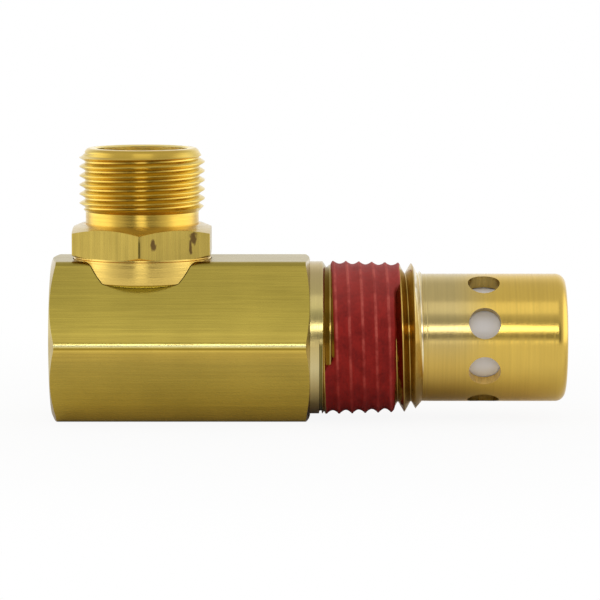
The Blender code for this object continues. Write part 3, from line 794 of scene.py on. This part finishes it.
def hexagonal_bar(name, axis, across_flats, corner_radius, bottom, length, finish):
    """A six-sided cylinder with its long edges rounded, longer at both ends than it will be."""
    start, along, outward = axis
    middle = start + along * (bottom + length / 2)
    turn = along.to_track_quat("Z", "Y").to_euler()
    bpy.ops.object.select_all(action="DESELECT")
    bpy.ops.mesh.primitive_cylinder_add(
        vertices=6, radius=across_flats / math.sqrt(3.0), depth=length + 2 * OVERSHOOT,
        location=middle, rotation=turn,
    )
    piece = bpy.context.object
    piece.name = name
    settle(piece)
    corner = max(piece.data.vertices, key=lambda v: abs((v.co - middle).y))
    arm = corner.co - middle
    arm -= along * arm.dot(along)
    if abs(arm.normalized().y) < 0.999:
        edit_all()
        axis_name = "X" if along.x > 0.5 else "Z"
        bpy.ops.transform.rotate(value=math.pi / 6, orient_axis=axis_name, center_override=middle)
        bpy.ops.object.mode_set(mode="OBJECT")
    for edge in piece.data.edges:
        ends = [piece.data.vertices[i].co for i in edge.vertices]
        edge.select = abs((ends[1] - ends[0]).normalized().dot(along)) > 0.99
    for vertex in piece.data.vertices:
        vertex.select = False
    for face in piece.data.polygons:
        face.select = False
    for edge in piece.data.edges:
        if edge.select:
            for i in edge.vertices:
                piece.data.vertices[i].select = True
    bpy.ops.object.mode_set(mode="EDIT")
    bpy.ops.mesh.select_mode(type="EDGE")
    bpy.ops.mesh.bevel(offset=corner_radius * math.tan(math.pi / 6), segments=CORNER_SEGMENTS)
    bpy.ops.mesh.select_mode(type="VERT")
    bpy.ops.object.mode_set(mode="OBJECT")
    piece.data.materials.append(finish)
    return piece


def chamfer_envelope(name, axis, across_flats, bottom, length, insets, slopes, finish):
    """The turned solid that leaves a hexagon's end faces and chamfers, an inset and a slope at each."""
    first_radius, last_radius = [across_flats / 2 - inset for inset in insets]
    outside = across_flats / math.sqrt(3.0) + OVERSHOOT
    section = [
        (bottom, 0.0), (bottom, first_radius),
        (bottom + (outside - first_radius) * math.tan(math.radians(slopes[0])), outside),
        (bottom + length - (outside - last_radius) * math.tan(math.radians(slopes[1])), outside),
        (bottom + length, last_radius), (bottom + length, 0.0),
    ]
    return turned(name, swung(axis, 0.29), section, finish)


body = hexagonal_bar(
    "brass_body", VALVE_AXIS, HEX_ACROSS_FLATS, HEX_CORNER_RADIUS, 0.0, HEX_LENGTH, drawn_brass
)
BODY_INSETS = (0.25 * MM, 0.25 * MM)
body_envelope = chamfer_envelope(
    "body_envelope", VALVE_AXIS, HEX_ACROSS_FLATS, 0.0, HEX_LENGTH, BODY_INSETS, (25.0, 19.0), turned_brass
)
combine(body, body_envelope, "INTERSECT")
report(body)

# %% [markdown]
# ## Collar and tank thread
# Behind the hexagon is a short turned collar, then a taper pipe thread, 14 to the inch. The collar is
# turned with a few more points than its outline needs: they let a nick from the die be pressed into part
# of its round, and a fine ridge stand in the groove behind it.

# %% Collar
COLLAR_RADIUS = 10.61 * MM
COLLAR_END = 37.58 * MM
NICK_START = 37.14 * MM
NICK_END = 37.40 * MM
NICK_DEPTH = 0.40 * MM
GROOVE_RADIUS = 9.78 * MM
RIDGE_RADIUS = 10.12 * MM
collar = turned(
    "collar", swung(VALVE_AXIS, 0.53),
    [
        (33.0 * MM, 0.0), (33.0 * MM, COLLAR_RADIUS),
        (NICK_START - 0.09 * MM, COLLAR_RADIUS), (NICK_START, COLLAR_RADIUS),
        (NICK_END, COLLAR_RADIUS), (NICK_END + 0.08 * MM, COLLAR_RADIUS),
        (COLLAR_END - 0.06 * MM, COLLAR_RADIUS), (COLLAR_END, COLLAR_RADIUS - 0.05 * MM),
        (COLLAR_END + 0.52 * MM, GROOVE_RADIUS), (38.46 * MM, RIDGE_RADIUS),
        (38.64 * MM, RIDGE_RADIUS), (39.05 * MM, GROOVE_RADIUS),
        (39.6 * MM, GROOVE_RADIUS), (39.6 * MM, 0.0),
    ],
    turned_brass,
)


def first_cut(station, radius, angle):
    """Where the die starts, it leaves a nick in the collar from the front round to the back."""
    share = min(1.0, max(0.0, (math.degrees(angle) - 88.0) / 6.0)) * (angle < math.radians(250.0))
    in_nick = NICK_START - 0.04 * MM < station < NICK_END + 0.04 * MM and radius > GROOVE_RADIUS
    return radius - NICK_DEPTH * share if in_nick else radius


reshape(collar, VALVE_AXIS, first_cut)
report(collar)

# %% [markdown]
# The tank thread is a rod with true helical teeth, tapered point by point. It dives under the collar
# before it, and its far end is chamfered so that it starts easily in the tank's port. Intersecting it
# with a turned envelope is how the chamfer cuts through the teeth.

# %% Tank thread
TANK_CREST = 10.67 * MM
TAPER_FROM = 38.3 * MM
TAPER = 1 / 32
THREAD_END = 51.35 * MM
CREST_FLAT = 0.03 * MM
CREST_EDGE = 0.075 * MM
ROOT_FLAT = 0.05 * MM
TOOTH_DEPTH = 1.386 * MM


def crest_line(station):
    """Radius of the taper thread's crests at a station."""
    return TANK_CREST - (station - TAPER_FROM) * TAPER


def tooth_section(pitch, crest, depth, flat, edge, root, origin):
    """One V tooth from root to root, with the crest's edges broken."""
    drop = (edge - flat) * math.tan(math.radians(35.0))
    middle = origin + pitch / 2
    return [
        (origin, crest - depth), (origin + root, crest - depth), (middle - edge, crest - drop),
        (middle - flat, crest), (middle + flat, crest), (middle + edge, crest - drop),
        (origin + pitch - root, crest - depth), (origin + pitch, crest - depth),
    ]


tank_start = TANK_CREST_ON_TOP - 3.5 * TANK_PITCH
tank_tooth = tooth_section(
    TANK_PITCH, TANK_CREST, TOOTH_DEPTH, CREST_FLAT, CREST_EDGE, ROOT_FLAT, tank_start
)
thread = threaded_rod(
    "tank_thread", VALVE_AXIS, tank_tooth, TANK_PITCH, 36.4 * MM, 52.6 * MM, thread_brass
)


def tapered(station, radius, angle):
    """Follow the taper, and dive under the collar before it."""
    under_collar = 10.42 * MM + max(0.0, station - 37.5 * MM) * 1.3
    return min(crest_line(station) - (TANK_CREST - radius), under_collar)


reshape(thread, VALVE_AXIS, tapered)
thread_envelope = turned(
    "thread_envelope", swung(VALVE_AXIS, 1.07),
    [
        (36.0 * MM, 0.0), (36.0 * MM, 11.4 * MM), (49.2 * MM, 11.4 * MM), (50.12 * MM, 10.32 * MM),
        (THREAD_END, 8.87 * MM), (53.0 * MM, 8.80 * MM), (53.0 * MM, 0.0),
    ],
    turned_brass,
)
combine(thread, thread_envelope, "INTERSECT")
report(thread)

# %% [markdown]
# ## The nose
# The nose hangs inside the tank. It is turned smooth, its end is rounded over where the metal is rolled
# in on the plug, and a faint tool line marks where it meets the thread.

# %% Nose
NOSE_RADIUS = 8.875 * MM
NOSE_END = 71.3 * MM
NOSE_EDGE = 1.40 * MM
nose_section = [
    (49.0 * MM, 0.0), (49.0 * MM, 8.80 * MM), (51.52 * MM, 8.80 * MM), (51.62 * MM, NOSE_RADIUS),
    (51.88 * MM, NOSE_RADIUS), (51.94 * MM, NOSE_RADIUS - 0.03 * MM), (52.0 * MM, NOSE_RADIUS),
]
nose_section.append((NOSE_END - NOSE_EDGE - 0.15 * MM, NOSE_RADIUS))
nose_section += corner_arc((NOSE_END - NOSE_EDGE, NOSE_RADIUS - NOSE_EDGE), NOSE_EDGE, 90.0, 0.0, 12)
nose_section.append((NOSE_END, 0.0))
nose = turned("nose", swung(VALVE_AXIS, 1.41), nose_section, turned_brass)
report(nose)

# %% [markdown]
# ## Boring and drilling
# The solid pieces are joined, and then the machining follows the real order: the counterbored side port
# from above, the flow bore and poppet chamber from the nose, and eight ports round the nose. The
# counterbore's floor is coned, and its corner is rounded as the cutter's is. Cutters start outside the
# metal, so that no faces coincide.

# %% Join the turned end to the bar
for end in (collar, thread, nose):
    combine(body, end, "UNION")
report(body)

# %% Cutters
PORT_CONE = math.tan(math.radians(22.0))
COUNTERBORE_RADIUS = 9.66 * MM
COUNTERBORE_EDGE = 8.09 * MM
PORT_RADIUS = 7.15 * MM
CHAMBER_RADIUS = 7.15 * MM
SEAT_STATION = 55.3 * MM
FLOW_RADIUS = 4.75 * MM
LEDGE_STATION = 68.35 * MM
PLUG_RECESS_RADIUS = 7.5 * MM
LIP_RADIUS = 6.5 * MM
CORNER_FILLET = 0.35 * MM


def floor_fillet(edge, radius, fillet):
    """Round the corner between the counterbore's wall and its coned floor, from the wall inwards."""
    rise = fillet * (math.sqrt(1.0 + PORT_CONE**2) - PORT_CONE)
    last = 180.0 - math.degrees(math.atan(PORT_CONE))
    return corner_arc((edge + rise, radius - fillet), fillet, 90.0, last, 6)


side_port = turned(
    "side_port", swung(INLET_AXIS, 0.71),
    [
        (12.5 * MM, 0.0), (12.5 * MM, COUNTERBORE_RADIUS),
        *floor_fillet(COUNTERBORE_EDGE, COUNTERBORE_RADIUS, CORNER_FILLET),
        (COUNTERBORE_EDGE - (COUNTERBORE_RADIUS - PORT_RADIUS) * PORT_CONE, PORT_RADIUS),
        (-3.2 * MM, PORT_RADIUS), (-3.2 * MM - PORT_RADIUS * PORT_CONE, 0.0),
    ],
    bored_brass,
)
bore = turned(
    "bore", swung(VALVE_AXIS, 0.83),
    [
        (8.25 * MM, 0.0), (11.1 * MM, FLOW_RADIUS),
        (SEAT_STATION - 1.25 * MM, FLOW_RADIUS), (SEAT_STATION, 6.0 * MM),
        (SEAT_STATION, CHAMBER_RADIUS), (LEDGE_STATION, CHAMBER_RADIUS),
        (LEDGE_STATION, PLUG_RECESS_RADIUS), (70.55 * MM, PLUG_RECESS_RADIUS),
        (70.62 * MM, LIP_RADIUS), (71.18 * MM, LIP_RADIUS), (72.5 * MM, 7.6 * MM), (72.5 * MM, 0.0),
    ],
    bored_brass,
)
combine(body, side_port, "DIFFERENCE")
combine(body, bore, "DIFFERENCE")
report(body)

# %% Side ports
PORT_COUNT = 8
PORT_STATION = 59.8 * MM
PORT_DRILL_RADIUS = 2.2 * MM
FIRST_PORT_ANGLE = 19.0
for index in range(PORT_COUNT):
    turn = math.radians(FIRST_PORT_ANGLE + index * 360.0 / PORT_COUNT)
    outward = Vector((0.0, -math.cos(turn), math.sin(turn)))
    centre = VALVE_AXIS[0] + VALVE_AXIS[1] * PORT_STATION + outward * 8.0 * MM
    bpy.ops.object.select_all(action="DESELECT")
    bpy.ops.mesh.primitive_cylinder_add(
        vertices=48, radius=PORT_DRILL_RADIUS, depth=3.4 * MM, location=centre,
        rotation=outward.to_track_quat("Z", "Y").to_euler(),
    )
    drill = settle(bpy.context.object)
    drill.data.materials.append(bored_brass)
    combine(body, drill, "DIFFERENCE")
smooth(body)
report(body)
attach(body, "body")
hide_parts("valve_body")

# %% [markdown]
# ## Dried sealant
# The thread comes with a band of red sealant, painted on and dried. It fills the roots, rounds the crests
# and ends in ragged edges that follow the thread. The band is a turned ring with a fine grid, and each
# point's radius is worked out from the thread under it, so its edges dive under the brass.

# %% Sealant band
COAT_FIRST = 37.7 * MM
COAT_LAST = 49.1 * MM
COAT_ROWS = 114
COAT_STEPS = 300
COAT_INSIDE = 8.7 * MM
START_ANGLE = 98.0
START_BLEND = 14.0
COAT_END = 47.32 * MM
OVERRUN = 0.78 * MM
OVERRUN_ANGLE = 43.0
OVERRUN_BLEND = 6.0
FEATHER = 0.35 * MM


def ease(share):
    """A share kept between 0 and 1, with soft ends."""
    share = min(1.0, max(0.0, share))
    return share * share * (3.0 - 2.0 * share)


def tooth_phase(station, angle):
    """Distance along the axis from the nearest crest, in metres."""
    turns = (station - TANK_CREST_ON_TOP) / TANK_PITCH - angle / math.tau
    return (turns - math.floor(turns + 0.5)) * TANK_PITCH


def thread_depth(offset):
    """How far the brass lies under the crest line, this far from a crest."""
    return min(max(0.0, (abs(offset) - CREST_FLAT) * math.tan(math.radians(60.0))), TOOTH_DEPTH)


def coat_edges(angle):
    """Stations where the coat begins and ends at an angle from the top, towards the front."""
    begins = TANK_CREST_ON_TOP - 0.16 * MM + TANK_PITCH * angle / math.tau
    begins -= ease((math.degrees(angle) - START_ANGLE) / START_BLEND) * (TANK_PITCH - 0.36 * MM)
    from_top = math.degrees(min(angle, math.tau - angle))
    ends = COAT_END + OVERRUN * ease((OVERRUN_ANGLE - from_top) / OVERRUN_BLEND)
    wobble = noise.noise(Vector((math.cos(angle) * 3.0, math.sin(angle) * 3.0, 0.7)))
    fray = noise.noise(Vector((math.cos(angle) * 14.0, math.sin(angle) * 14.0, 4.2)))
    return begins + 0.05 * MM * fray, ends + 0.16 * MM * wobble + 0.08 * MM * fray


def coat_radius(station, angle):
    """Outer radius of the coat: softened teeth, a little uneven, and under the brass past its edges."""
    offset = tooth_phase(station, angle)
    wave = abs(math.sin(math.pi * offset / TANK_PITCH))
    where = Vector((station / MM * 0.9, math.cos(angle) * 9.0, math.sin(angle) * 9.0))
    lumps = noise.noise(where) * 0.035 * MM + noise.noise(where * 3.1) * 0.014 * MM
    depth = (0.41 - 0.06 * math.cos(angle)) * MM * wave ** 1.25 - lumps
    begins, ends = coat_edges(angle)
    past = max(begins - station, station - ends, 0.0)
    share = ease(1.0 - past / FEATHER)
    covered = min(depth, thread_depth(max(0.0, abs(offset) - 0.08 * MM)) - 0.035 * MM)
    bare = thread_depth(offset) + 0.12 * MM
    return crest_line(station) - (covered * share + bare * (1.0 - share))


coat_section = []
for row in range(COAT_ROWS + 1):
    coat_section.append((COAT_FIRST + (COAT_LAST - COAT_FIRST) * row / COAT_ROWS, 10.5 * MM))
for row in range(5):
    coat_section.append((COAT_LAST - (COAT_LAST - COAT_FIRST) * row / 4, COAT_INSIDE))
coat_section.append(coat_section[0])
coat = turned("sealant_band", VALVE_AXIS, coat_section, red_coat, COAT_STEPS)


def coated(station, radius, angle):
    """Leave the inner wall, and shape the outer one."""
    return radius if radius < COAT_INSIDE + 0.8 * MM else coat_radius(station, angle)


reshape(coat, VALVE_AXIS, coated)
smooth(coat, math.radians(60.0))
report(coat)
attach(coat, "body")
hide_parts("thread_sealant")

# %% [markdown]
# ## The inlet fitting
# The fitting is a second piece of brass, screwed into the side port. From below it has a shank, a coned
# shoulder that seats in the counterbore, a hexagon for the spanner, a neck, and a thread for the nut that
# holds the tube. It is made as the body was: bar, turning, thread, then the bores.

# %% Fitting hexagon
FITTING_ACROSS_FLATS = 19.05 * MM
FITTING_HEX_BOTTOM = 11.5625 * MM
FITTING_HEX_HEIGHT = 4.4 * MM
fitting = hexagonal_bar(
    "inlet_fitting_brass", INLET_AXIS, FITTING_ACROSS_FLATS, 0.25 * MM, FITTING_HEX_BOTTOM,
    FITTING_HEX_HEIGHT, fitting_bar,
)
fitting_envelope = chamfer_envelope(
    "fitting_envelope", INLET_AXIS, FITTING_ACROSS_FLATS, FITTING_HEX_BOTTOM, FITTING_HEX_HEIGHT,
    (-0.42 * MM, 1.0 * MM), (23.0, 22.5), fitting_brass,
)
combine(fitting, fitting_envelope, "INTERSECT")
report(fitting)

# %% [markdown]
# Above and below its hexagon the fitting is turned. The shoulder follows the counterbore's cone a hair
# over it, so the two pieces touch without sharing faces. The rim of the mouth is rounded in a few steps,
# and the tube thread runs out into the neck.

# %% Shoulder, neck and thread
SHOULDER_RADIUS = 9.56 * MM
NECK_RADIUS = 7.85 * MM
SHANK_RADIUS = 7.0 * MM
TUBE_CREST = 8.7 * MM
TUBE_PITCH = 1.27 * MM
TUBE_TOOTH_DEPTH = 0.76 * MM
RIM_TOP = 26.4625 * MM
SEAT_GAP = 0.05 * MM
cone_top = COUNTERBORE_EDGE - (COUNTERBORE_RADIUS - SHOULDER_RADIUS) * PORT_CONE + SEAT_GAP
turning = turned(
    "fitting_turning", swung(INLET_AXIS, 0.53),
    [
        (2.95 * MM, 0.0), (2.95 * MM, SHANK_RADIUS - 0.5 * MM), (3.45 * MM, SHANK_RADIUS),
        (cone_top - (SHOULDER_RADIUS - SHANK_RADIUS) * PORT_CONE, SHANK_RADIUS),
        *reversed(floor_fillet(cone_top, SHOULDER_RADIUS, CORNER_FILLET - 0.06 * MM)),
        (FITTING_HEX_BOTTOM - 0.35 * MM, SHOULDER_RADIUS),
        (FITTING_HEX_BOTTOM - 0.25 * MM, SHOULDER_RADIUS - 0.12 * MM),
        (13.8 * MM, SHOULDER_RADIUS - 0.12 * MM), (13.8 * MM, NECK_RADIUS),
        (17.9 * MM, NECK_RADIUS), (18.5 * MM, NECK_RADIUS - 0.1 * MM),
        (25.0 * MM, NECK_RADIUS - 0.2 * MM), (25.0 * MM, 0.0),
    ],
    fitting_brass,
)
tube_start = 36.5875 * MM - AXIS_HEIGHT - 8.5 * TUBE_PITCH
tube_tooth = tooth_section(
    TUBE_PITCH, TUBE_CREST, TUBE_TOOTH_DEPTH, 0.05 * MM, 0.09 * MM, 0.1 * MM, tube_start
)
tube_thread = threaded_rod(
    "tube_thread", INLET_AXIS, tube_tooth, TUBE_PITCH, 16.4 * MM, RIM_TOP + 0.8 * MM, fitting_brass
)
tube_envelope = turned(
    "tube_envelope", swung(INLET_AXIS, 1.07),
    [
        (16.0 * MM, 0.0), (16.0 * MM, 7.2 * MM), (17.55 * MM, 7.75 * MM), (18.75 * MM, 8.95 * MM),
        (RIM_TOP - 1.38 * MM, 8.95 * MM), (RIM_TOP - 1.25 * MM, 8.55 * MM),
        (RIM_TOP - 1.0 * MM, 8.20 * MM), (RIM_TOP - 0.34 * MM, 7.84 * MM),
        (RIM_TOP - 0.12 * MM, 7.62 * MM), (RIM_TOP, 7.35 * MM), (RIM_TOP, 0.0),
    ],
    fitting_brass,
)
combine(tube_thread, tube_envelope, "INTERSECT")
combine(fitting, turning, "UNION")
combine(fitting, tube_thread, "UNION")
report(fitting)

# %% Tube socket and bore
SOCKET_RADIUS = 6.4 * MM
SOCKET_FLOOR = RIM_TOP - 10.0 * MM
INLET_BORE_RADIUS = 5.15 * MM
fitting_bore = turned(
    "fitting_bore", swung(INLET_AXIS, 0.83),
    [
        (RIM_TOP + 1.0 * MM, 0.0), (RIM_TOP + 1.0 * MM, SOCKET_RADIUS + 1.2 * MM),
        (RIM_TOP - 0.2 * MM, SOCKET_RADIUS), (SOCKET_FLOOR, SOCKET_RADIUS),
        (SOCKET_FLOOR, INLET_BORE_RADIUS), (0.0, INLET_BORE_RADIUS), (0.0, 0.0),
    ],
    fitting_brass,
)
combine(fitting, fitting_bore, "DIFFERENCE")
smooth(fitting)
report(fitting)
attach(fitting, "body")
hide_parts("inlet_fitting")

# %% [markdown]
# ## Poppet, spring and plug
# The poppet is a white cup that slides in the nose. Its conical face shuts on the seat, and its skirt is
# what shows through the ports. Behind it a brass plug with a vent is held by the nose's rolled lip. Both
# are turned whole, with their edges rounded in the section.

# %% Poppet
SKIRT_START = 55.5 * MM
SKIRT_END = 62.4 * MM
POPPET_RADIUS = 7.0 * MM
CUP_RADIUS = 5.4 * MM
CUP_FLOOR = 57.5 * MM
NOSE_FACE = 54.45 * MM
ROUND = 0.3 * MM
poppet_section = [
    (NOSE_FACE, 0.0), (NOSE_FACE, 4.75 * MM),
    (NOSE_FACE + 0.17 * MM, 5.02 * MM), (SKIRT_START, 5.9 * MM),
    *corner_arc((SKIRT_START + ROUND, POPPET_RADIUS - ROUND), ROUND, 180.0, 90.0, 5),
    *corner_arc((SKIRT_END - ROUND, POPPET_RADIUS - ROUND), ROUND, 90.0, 0.0, 5),
    (SKIRT_END, CUP_RADIUS + 0.15 * MM), (SKIRT_END - 0.15 * MM, CUP_RADIUS),
    *corner_arc((CUP_FLOOR + ROUND, CUP_RADIUS - ROUND), ROUND, 90.0, 180.0, 5), (CUP_FLOOR, 0.0),
]
poppet = turned("ptfe_poppet", VALVE_AXIS, poppet_section, white_ptfe, 96)
smooth(poppet)
report(poppet)
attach(poppet, "poppet")
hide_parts("poppet")

# %% End plug
PLUG_START = 68.5 * MM
PLUG_END = 70.4 * MM
PLUG_RADIUS = 7.35 * MM
VENT_RADIUS = 1.5 * MM
plug_section = [
    (PLUG_START, VENT_RADIUS + 0.15 * MM), (PLUG_START, PLUG_RADIUS - ROUND),
    (PLUG_START + ROUND, PLUG_RADIUS), (PLUG_END - ROUND, PLUG_RADIUS),
    (PLUG_END, PLUG_RADIUS - ROUND), (PLUG_END, VENT_RADIUS + 0.2 * MM),
    (PLUG_END - 0.2 * MM, VENT_RADIUS), (PLUG_START + 0.15 * MM, VENT_RADIUS),
    (PLUG_START, VENT_RADIUS + 0.15 * MM),
]
plug = turned("vented_plug", VALVE_AXIS, plug_section, turned_brass, 128)
smooth(plug)
report(plug)
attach(plug, "body")
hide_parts("end_plug")

# %% [markdown]
# The spring stands between the cup's floor and the plug. It is a curve with a round bevel, close-wound
# for one turn at each end so that it stands square, and made a mesh. It shortens as the poppet lifts.

# %% Return spring
WIRE_RADIUS = 0.25 * MM
WIRE_STEPS = 312
END_GAP = 0.15 * MM
COIL_RADIUS = 4.65 * MM
COIL_TURNS = 6.5
CLOSED_TURNS = 1.0
CLOSED_PITCH = 0.65 * MM
coil_start = CUP_FLOOR + END_GAP + WIRE_RADIUS
free_length = PLUG_START - CUP_FLOOR - 2 * END_GAP
coil_length = free_length - 2 * WIRE_RADIUS
active_pitch = (coil_length - 2 * CLOSED_TURNS * CLOSED_PITCH) / (COIL_TURNS - 2 * CLOSED_TURNS)


def coil_rise(turns):
    """Height of the wire's centre after this many turns, close-wound at both ends."""
    closed = min(turns, CLOSED_TURNS) + max(turns - (COIL_TURNS - CLOSED_TURNS), 0.0)
    active = min(max(turns - CLOSED_TURNS, 0.0), COIL_TURNS - 2 * CLOSED_TURNS)
    return closed * CLOSED_PITCH + active * active_pitch


wire = bpy.data.curves.new("return_spring_wire", "CURVE")
wire.dimensions = "3D"
wire.bevel_depth = WIRE_RADIUS
wire.bevel_resolution = 3
wire.use_fill_caps = True
path = wire.splines.new("POLY")
path.points.add(WIRE_STEPS)
for step, point in enumerate(path.points):
    turns = COIL_TURNS * step / WIRE_STEPS
    angle = turns * math.tau
    centre = VALVE_AXIS[0] + VALVE_AXIS[1] * (coil_start + coil_rise(turns))
    centre += Vector((0.0, -math.sin(angle), math.cos(angle))) * COIL_RADIUS
    point.co = (*centre, 1.0)
spring = bpy.data.objects.new("return_spring_wire", wire)
scene.collection.objects.link(spring)
pick(spring)
bpy.ops.object.convert(target="MESH")
spring = bpy.context.object
spring.data.materials.append(spring_wire)
smooth(spring, math.radians(50.0))
report(spring)
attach(spring, "body")
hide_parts("return_spring")
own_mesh(spring)
